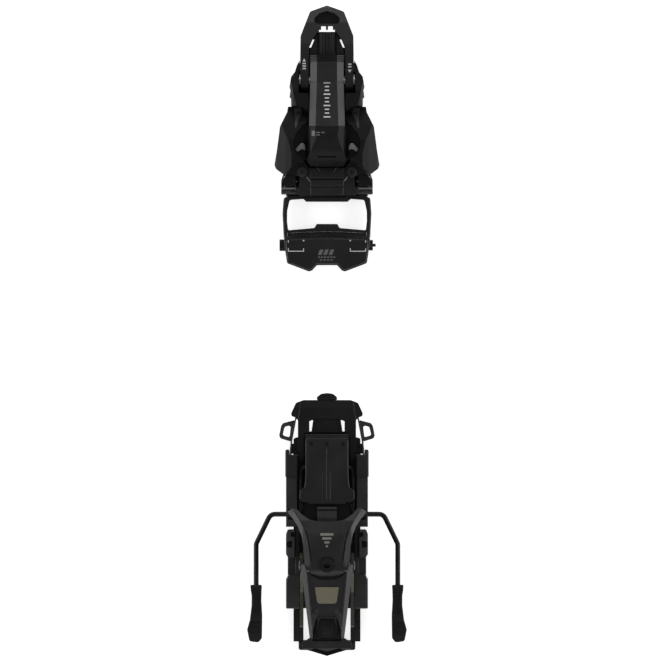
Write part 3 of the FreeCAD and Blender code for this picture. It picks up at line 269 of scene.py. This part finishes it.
def floor_material():
    """Pale paper with a little light of its own, so that it stays near white beside the object."""
    g = Graph("pale_floor")
    cloud = g.noise(FLOOR_CLOUD_SCALE, detail=3.0, rough=0.5)
    fibre = g.noise(FLOOR_FIBRE_SCALE, detail=3.0, rough=0.6)
    return g.finish(
        g.blend(cloud, grey(0.90), grey(0.93)),
        g.spread(fibre, 0.75, 0.85),
        Specular_IOR_Level=0.1,
        Emission_Color=grey(1.0),
        Emission_Strength=FLOOR_GLOW,
    )


BLACK = moulded("black_plastic", tone=0.0115, rough=0.42)
DULL_BLACK = moulded("dull_black_plastic", tone=0.0085, rough=0.52, specular=0.22)
DARK_BLACK = moulded("dark_black_plastic", tone=0.0060, rough=0.50, specular=0.16, wear=0.06)
HOUSING = moulded("housing_plastic", tone=0.0135, rough=0.34, grain=3000, depth=0.012, specular=0.6)
GLOSS = moulded("gloss_plastic", tone=0.006, rough=0.30, grain=1800, depth=0.008, specular=0.3)
GREY = moulded("grey_plastic", tone=0.024, rough=0.44)
LOOP_GREY = moulded("loop_grey", tone=0.040, rough=0.42, grain=3000, depth=0.01, wear=0.20)
GLIDE = moulded("glide_plastic", tone=0.010, rough=0.34, grain=1500, depth=0.01)
RUBBER = moulded("tip_rubber", tone=0.0075, rough=0.62, grain=1300, depth=0.04, wear=0.02, specular=0.35)
# Painted shade: a near-black rubber laid in the lever's pocket and along its tail, where shade falls.
PAINTED_SHADE = moulded("painted_shade_rubber", tone=0.0035, rough=0.7, grain=1300, depth=0.03, wear=0.01,
                       specular=0.06)
STEEL = metal("bright_steel", tone=0.52, rough=0.28)
BLACK_STEEL = moulded("black_steel", tone=0.010, rough=0.36, grain=3000, depth=0.01, wear=0.16,
                      specular=0.28)
BRACKET = metal("bracket_steel", tone=0.20, rough=0.36, stretch=(30, 1, 30))
DARK_ALLOY = metal("dark_aluminium", tone=0.15, rough=0.40, stretch=(1, 1, 30))
BRONZE = metal("bronze", tone=0.36, rough=0.42, stretch=(30, 1, 30), warmth=0.25, tarnish=0.8)
RAIL_BRONZE = metal("rail_bronze", tone=0.13, rough=0.46, warmth=0.12, tarnish=0.7, wear=0.12)
INK = printed("grey_ink", tone=0.16)
PALE_INK = printed("pale_ink", tone=0.88)
EMBLEM = printed("emblem_ink", tone=0.26, warmth=0.10)

BY_SLOT = {
    "black_plastic": BLACK,
    "gloss_plastic": GLOSS,
    "grey_plastic": GREY,
    "glide_plastic": GLIDE,
    "tip_rubber": RUBBER,
    "bright_steel": STEEL,
    "black_steel": BLACK_STEEL,
    "bracket_steel": BRACKET,
    "dark_aluminium": DARK_ALLOY,
    "bronze": BRONZE,
}
BY_NODE = {
    "toe_wing_left": DARK_BLACK,
    "toe_wing_right": DARK_BLACK,
    "toe_side_covers": DARK_BLACK,
    "toe_adjuster_cap": DULL_BLACK,
    "toe_spring_housing": HOUSING,
    "climbing_aid": DULL_BLACK,
    "toe_hood": DULL_BLACK,
    "afd_knob": DULL_BLACK,
    "heel_side_covers": DULL_BLACK,
    "side_loops": LOOP_GREY,
    "toe_bridge_screws": LOOP_GREY,
    "climbing_aid_pins": BLACK_STEEL,
    "pin_arm_left": BLACK_STEEL,
    "pin_arm_right": BLACK_STEEL,
    "heel_chassis": RAIL_BRONZE,
}


def dress_nodes():
    """Gives each CAD node its own material where it has one, and its slot's material otherwise."""
    slot_of = {entry["node"]: entry["material_slot"] for entry in frame["record"]["subparts"]}
    for name, node in NODES.items():
        material = BY_NODE.get(name, BY_SLOT[slot_of[name]])
        for slot in node.material_slots:
            slot.material = material
        if not node.material_slots:
            node.data.materials.append(material)


# ------------------------------------------------------------------ small surface pieces
# An outline is a list of (x, back): millimetres across from a node's middle, and back from its front edge.
def bar(x_start, x_end, back_start, back_end, slant=0.0):
    """A rectangle, or a parallelogram whose front edge is moved across by slant."""
    return [
        (x_start + slant, back_start),
        (x_end + slant, back_start),
        (x_end, back_end),
        (x_start, back_end),
    ]


def arrow(middle, tip, base, half_width):
    return [(middle, tip), (middle - half_width, base), (middle + half_width, base)]


def mirrored(outline):
    return [(-x, back) for x, back in outline]


def both_sides(outlines):
    return outlines + [mirrored(outline) for outline in outlines]


def add_face(shape, node, outline, height):
    """A flat face in the outline's place on a node, at a height in metres."""
    low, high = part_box(node)
    middle = (low.x + high.x) / 2
    return shape.faces.new(
        [shape.verts.new((middle + x * MM, high.y - back * MM, height)) for x, back in outline]
    )


def surface_tree(node):
    """A node's own mesh, ready for ray casting."""
    mesh = NODES[node].data
    places = [vertex.co for vertex in mesh.vertices]
    return BVHTree.FromPolygons(places, [face.vertices[:] for face in mesh.polygons])


def cut_in_strips(shape, axis, spacing):
    """Splits flat faces along one axis, so that they can follow a curved face."""
    places = [vertex.co[axis] for vertex in shape.verts]
    start = min(places)
    count = int((max(places) - start) / spacing)
    normal = Vector((0, 0, 0))
    normal[axis] = 1.0
    for number in range(1, count + 1):
        point = normal * (start + number * spacing)
        everything = shape.verts[:] + shape.edges[:] + shape.faces[:]
        bmesh.ops.bisect_plane(shape, geom=everything, plane_co=point, plane_no=normal, dist=CUT_TOLERANCE)


def add_piece(name, shape, body, material):
    """Turns a finished shape into a piece that rides on a body."""
    mesh = bpy.data.meshes.new(name)
    shape.to_mesh(mesh)
    shape.free()
    mesh.materials.append(material)
    piece = bpy.data.objects.new(name, mesh)
    scene.collection.objects.link(piece)
    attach(piece, body)


def laid_on(name, node, body, outlines, material, proud=0.12, spacing=1.0):
    """Thin closed shapes that follow a node's upper face and stand proud of it, in millimetres."""
    shape = bmesh.new()
    for outline in outlines:
        add_face(shape, node, outline, height=0)
    cut_in_strips(shape, 0, spacing * MM)
    cut_in_strips(shape, 1, spacing * MM)
    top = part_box(node)[1].z
    tree = surface_tree(node)
    missed = []
    for vertex in shape.verts:
        start = Vector((vertex.co.x, vertex.co.y, top + RAY_START * MM))
        hit = tree.ray_cast(start, Vector((0, 0, -1)))[0]
        if hit is None:
            missed.append(vertex)
        else:
            vertex.co.z = hit.z + proud * MM
    bmesh.ops.delete(shape, geom=missed, context="VERTS")
    bmesh.ops.recalc_face_normals(shape, faces=shape.faces[:])
    if sum(face.normal.z for face in shape.faces) < 0:
        bmesh.ops.reverse_faces(shape, faces=shape.faces[:])
    bmesh.ops.solidify(shape, geom=shape.faces[:], thickness=(proud + SUNK) * MM)
    bmesh.ops.recalc_face_normals(shape, faces=shape.faces[:])
    add_piece(name, shape, body, material)


def plate(name, node, body, outlines, material, bottom, thick, chamfer=0.3):
    """Flat plates with broken edges; the bottom is millimetres above the node's lowest point."""
    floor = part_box(node)[0].z + bottom * MM
    shape = bmesh.new()
    for outline in outlines:
        base = add_face(shape, node, outline, height=floor)
        raised = bmesh.ops.extrude_face_region(shape, geom=[base])["geom"]
        corners = [item for item in raised if isinstance(item, bmesh.types.BMVert)]
        bmesh.ops.translate(shape, verts=corners, vec=(0, 0, thick * MM))
    bmesh.ops.recalc_face_normals(shape, faces=shape.faces[:])
    bmesh.ops.bevel(shape, geom=shape.edges[:], offset=chamfer * MM, segments=2, profile=0.5, affect="EDGES")
    add_piece(name, shape, body, material)


def toe_marks():
    """Arrows and bars on the lever's arms, a setting scale on the barrel, and four pads on the hood."""
    arm = 18.0
    half = 1.3
    left = [arrow(-arm, tip=42.3, base=44.8, half_width=half)]
    left += [bar(-arm - half, -arm + half, back, back + 1.1) for back in (45.8, 47.8, 49.8)]
    right = [arrow(arm, tip=53.6, base=51.2, half_width=half)]
    right += [bar(arm - half, arm + half, back, back + 1.0) for back in (46.4, 48.4)]
    laid_on("toe_lever_marks", "toe_lever", "toe_lever", left + right, PALE_INK)

    first_tick = 16.2
    tick_spacing = 3.0
    tick_width = 1.0
    ticks = []
    for number in range(10):
        reach = 2.7 if number % 3 == 0 else 1.7
        back = first_tick + number * tick_spacing
        ticks.append(bar(-reach, reach, back, back + tick_width))
    laid_on("barrel_scale", "toe_spring_housing", "ski_base", ticks, PALE_INK)

    pads = [
        bar(-12.0, -9.6, 3.6, 7.6),
        bar(-8.6, -5.6, 4.4, 5.4),
        bar(-8.6, -5.6, 6.4, 7.4),
        bar(-4.6, -1.8, 4.4, 5.4),
    ]
    laid_on("hood_marks", "toe_hood", "ski_base", pads, INK)


def toe_trim():
    """Webs beside the nose guard, covers over the pin arms, clip wires, bracket edges, and pale strips of
    painted highlight along the wing ridges.
    """
    webs = both_sides([bar(-13.6, -6.2, -2.6, 5.9), bar(-15.6, -10.0, 12.2, 15.6)])
    plate("nose_webs", "toe_nose_guard", "ski_base", webs, BLACK, bottom=8.4, thick=1.8)

    left_cover = [(-1.0, -1.4), (5.4, -1.4), (6.2, -0.6), (6.2, 7.6), (-4.9, 7.8), (-5.0, 6.6), (-4.2, 3.0)]
    covers = {"pin_arm_left": left_cover, "pin_arm_right": mirrored(left_cover)}
    for arm, cover in covers.items():
        plate(arm + "_cover", arm, arm, [cover], DULL_BLACK,
              bottom=12.9, thick=1.4, chamfer=0.45)

    clips = both_sides([[(-16.4, 13.0), (-15.6, 12.7), (-13.2, 16.1), (-14.0, 16.5)]])
    laid_on("bridge_clips", "toe_bridge", "ski_base", clips, STEEL, proud=0.4)
    edges = [bar(-36.1, -25.4, 4.4, 6.4), bar(25.4, 36.1, 4.4, 6.4)]
    laid_on("bracket_edges", "crampon_bracket", "ski_base", edges, STEEL, proud=0.5)

    # Painted highlight: paler strips along each wing's ridge stand in for the light the ridge catches.
    left_ridge_highlight = [(2.2, 1.2), (7.0, 0.9), (8.6, 5.0), (5.6, 10.5), (4.0, 17.0), (2.6, 16.5), (3.2, 9.0)]
    ridges = {"left": left_ridge_highlight, "right": mirrored(left_ridge_highlight)}
    for side, shine_outline in ridges.items():
        wing = "wing_" + side
        laid_on(wing + "_ridge_highlight", "toe_" + wing, wing, [shine_outline], GREY, proud=0.25)


def release_spring():
    """Coiled wire in the barrel, made in the place of the CAD spring, which is hidden."""
    low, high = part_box("toe_release_spring")
    wire_radius = 1.3 * MM
    turns = 9
    steps_per_turn = 16
    steps = turns * steps_per_turn
    radius = (high.x - low.x) / 2 - wire_radius
    length = high.y - low.y - 2 * wire_radius
    middle_x = (low.x + high.x) / 2
    middle_z = (low.z + high.z) / 2
    curve = bpy.data.curves.new("release_spring_coil", "CURVE")
    curve.dimensions = "3D"
    curve.bevel_depth = wire_radius
    curve.bevel_resolution = 3
    curve.use_fill_caps = True
    line = curve.splines.new("POLY")
    line.points.add(steps)
    for number, point in enumerate(line.points):
        angle = 2 * math.pi * number / steps_per_turn
        along = low.y + wire_radius + length * number / steps
        point.co = (middle_x + radius * math.cos(angle), along, middle_z + radius * math.sin(angle), 1.0)
    outline = bpy.data.objects.new("release_spring_line", curve)
    scene.collection.objects.link(outline)
    bpy.context.view_layer.update()
    mesh = bpy.data.meshes.new_from_object(outline)
    bpy.data.objects.remove(outline)
    mesh.materials.clear()
    mesh.materials.append(STEEL)
    coil = bpy.data.objects.new("release_spring_coil", mesh)
    scene.collection.objects.link(coil)
    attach(coil, "ski_base")
    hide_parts("toe_release_spring")
    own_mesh(coil)


def sole_plate_marks():
    """Corner lines that show where the sole stands, and a plain label of bars between them."""
    line = 0.55
    outer = 30.8
    inner = 18.2
    front = 0.8
    rear = 10.6
    corners = both_sides([
        bar(-outer, -inner, rear - line, rear),
        bar(-outer, -outer + line, rear - 2.6, rear - line),
        bar(-inner - line, -inner, rear - 2.6, rear - line),
        bar(-outer, -outer + line, front, front + 2.8),
        bar(-inner - 0.7, -inner + 0.3, front + 0.6, front + 1.6),
    ])
    laid_on("sole_plate_corners", "afd_plate", "afd_glide", corners, PALE_INK)

    label = [bar(x, x + 2.9, 9.0, 13.2, slant=1.6) for x in (-7.2, -3.0, 1.2)]
    label += [bar(x, x + 1.6, 14.5, 15.5) for x in (-7.0, -4.6, -2.2, 0.2, 2.6, 5.0)]
    label += [bar(x, x + 1.8, 16.8, 17.7) for x in (-5.6, -2.8, 0.0, 2.8)]
    laid_on("sole_plate_label", "afd_plate", "afd_glide", label, INK)


def heel_marks():
    """Stacked bars on the jaw, ridges on the pedal, and creases on the climbing aid."""
    stack = [
        bar(-5.2, 5.2, 19.0, 20.9),
        bar(-3.6, 3.6, 22.2, 24.0),
        bar(-2.0, 2.0, 25.3, 27.1),
        bar(-0.9, 0.9, 28.3, 30.0),
    ]
    laid_on("jaw_bars", "heel_jaw", "jaw", stack, EMBLEM)

    ridges = [bar(-0.7, -0.1, 10.5, 51.6), bar(2.5, 3.0, 29.5, 51.6), bar(-3.6, -3.2, 29.5, 51.6)]
    laid_on("pedal_ridges", "brake_pedal", "brake_pedal", ridges, GREY, proud=0.2)

    creases = both_sides([[(-21.2, 2.2), (-20.6, 2.2), (-22.6, 16.0), (-23.2, 16.0)]])
    laid_on("climbing_aid_creases", "climbing_aid", "climbing_aid", creases, GREY,
            proud=0.2)


def heel_webs():
    """Plates that close the gaps inside the side loops and beside the climbing aid's tab."""
    gaps = both_sides([[(-25.2, 20.5), (-25.2, 28.6), (-29.4, 28.6), (-29.4, 23.5), (-27.6, 20.5)]])
    plate("loop_webs", "side_loops", "carriage", gaps, BLACK, bottom=0.5, thick=2.0)
    plate("tab_web", "climbing_aid_tab", "climbing_aid", [bar(-7.2, 7.2, 3.5, 8.0)], RUBBER,
          bottom=1.5, thick=2.0)


def lever_trim():
    """A dark rim of painted shade round the lever's pocket, paler patches of painted highlight on the facets
    in front of it, and a dark strip of painted shade along its tail.
    """
    # Painted shade: a dark U-shaped strip round the pocket's button makes the pocket look deeper in shade.
    pocket_shade_strips = both_sides([[(-9.4, 42.5), (-7.4, 42.5), (-8.4, 58.0), (-11.4, 58.0)]])
    pocket_shade_strips.append(bar(-11.4, 11.4, 58.3, 60.4))
    laid_on("lever_pocket_painted_shade", "heel_lever", "heel_lever", pocket_shade_strips, PAINTED_SHADE,
            proud=0.15, spacing=0.5)

    # Painted highlight: paler plastic on the two facets beside the pocket stands in for the light they catch.
    lit_facet_patch = [(-12.6, 41.0), (-8.6, 34.6), (-5.8, 36.0), (-8.4, 41.5), (-10.4, 50.0), (-12.4, 52.0)]
    laid_on("lever_painted_highlights", "heel_lever", "heel_lever", both_sides([lit_facet_patch]), GREY, proud=0.2)

    # Painted shade: a dark strip along the tail's rear lip stands in for the shade on its underside.
    tail_shade_strip = [(-14.6, 68.0), (-9.5, 66.2), (0.0, 68.8), (9.5, 66.2), (14.6, 68.0), (0.4, 71.9), (-0.4, 71.9)]
    laid_on("lever_tail_painted_shade", "heel_lever", "heel_lever", [tail_shade_strip], PAINTED_SHADE,
            proud=0.3, spacing=0.5)


def tip_grips():
    """Cross ridges on the brake's two soft tips: eight narrow ones in front and three wide ones behind."""
    ridges = []
    for number in range(8):
        back = 4.0 + number * 2.5
        ridges.append(bar(52.6, 60.6, back, back + 1.1))
    for number in range(3):
        back = 30.0 + number * 3.6
        ridges.append(bar(52.8, 61.6, back, back + 1.3))
    laid_on("tip_grips", "brake_tips", "brake", both_sides(ridges), DULL_BLACK, proud=0.6)


# ------------------------------------------------------------------ light, floor and camera
def stage_floor():
    mesh = bpy.data.meshes.new("floor")
    shape = bmesh.new()
    bmesh.ops.create_grid(shape, x_segments=FLOOR_CELLS, y_segments=FLOOR_CELLS, size=FLOOR_HALF_SIZE)
    shape.to_mesh(mesh)
    shape.free()
    floor = bpy.data.objects.new("floor", mesh)
    mesh.materials.append(floor_material())
    scene.collection.objects.link(floor)


def softbox(name, azimuth, elevation, distance, size, power):
    """An area light that faces the middle of the object. Azimuth 0 is in front of the toe."""
    light = bpy.data.lights.new(name, "AREA")
    light.shape = "RECTANGLE"
    light.size, light.size_y = size
    light.energy = power
    lamp = bpy.data.objects.new(name, light)
    around = math.radians(azimuth)
    above = math.radians(elevation)
    way = Vector((math.sin(around) * math.cos(above), math.cos(around) * math.cos(above), math.sin(above)))
    lamp.location = way * distance
    lamp.rotation_euler = way.to_track_quat("Z", "Y").to_euler()
    scene.collection.objects.link(lamp)


def light_stage():
    """White surroundings, with a large soft light on each side, in front and behind."""
    world = bpy.data.worlds.new("studio")
    scene.world = world
    world.use_nodes = True
    backdrop = world.node_tree.nodes["Background"]
    backdrop.inputs["Color"].default_value = grey(1.0)
    backdrop.inputs["Strength"].default_value = WORLD_STRENGTH
    side_size = (1.6, 0.8)
    end_size = (1.4, 0.9)
    softbox("side_right", azimuth=90, elevation=20, distance=1.7, size=side_size, power=13)
    softbox("side_left", azimuth=-90, elevation=20, distance=1.7, size=side_size, power=13)
    softbox("front", azimuth=0, elevation=34, distance=1.9, size=end_size, power=6)
    softbox("rear", azimuth=180, elevation=30, distance=1.9, size=end_size, power=5)


def look_down():
    """A camera high above with a long lens, which sees the object almost without perspective."""
    data = bpy.data.cameras.new("camera")
    data.sensor_width = SENSOR_WIDTH
    data.lens = LENS
    data.clip_start = CLIP_START
    data.clip_end = CLIP_END
    camera = bpy.data.objects.new("camera", data)
    camera.location = CAMERA_PLACE
    scene.collection.objects.link(camera)
    scene.camera = camera


dress_nodes()
toe_marks()
toe_trim()
release_spring()
sole_plate_marks()
heel_marks()
heel_webs()
lever_trim()
tip_grips()
stage_floor()
light_stage()
look_down()
scene.view_settings.view_transform = "Standard"
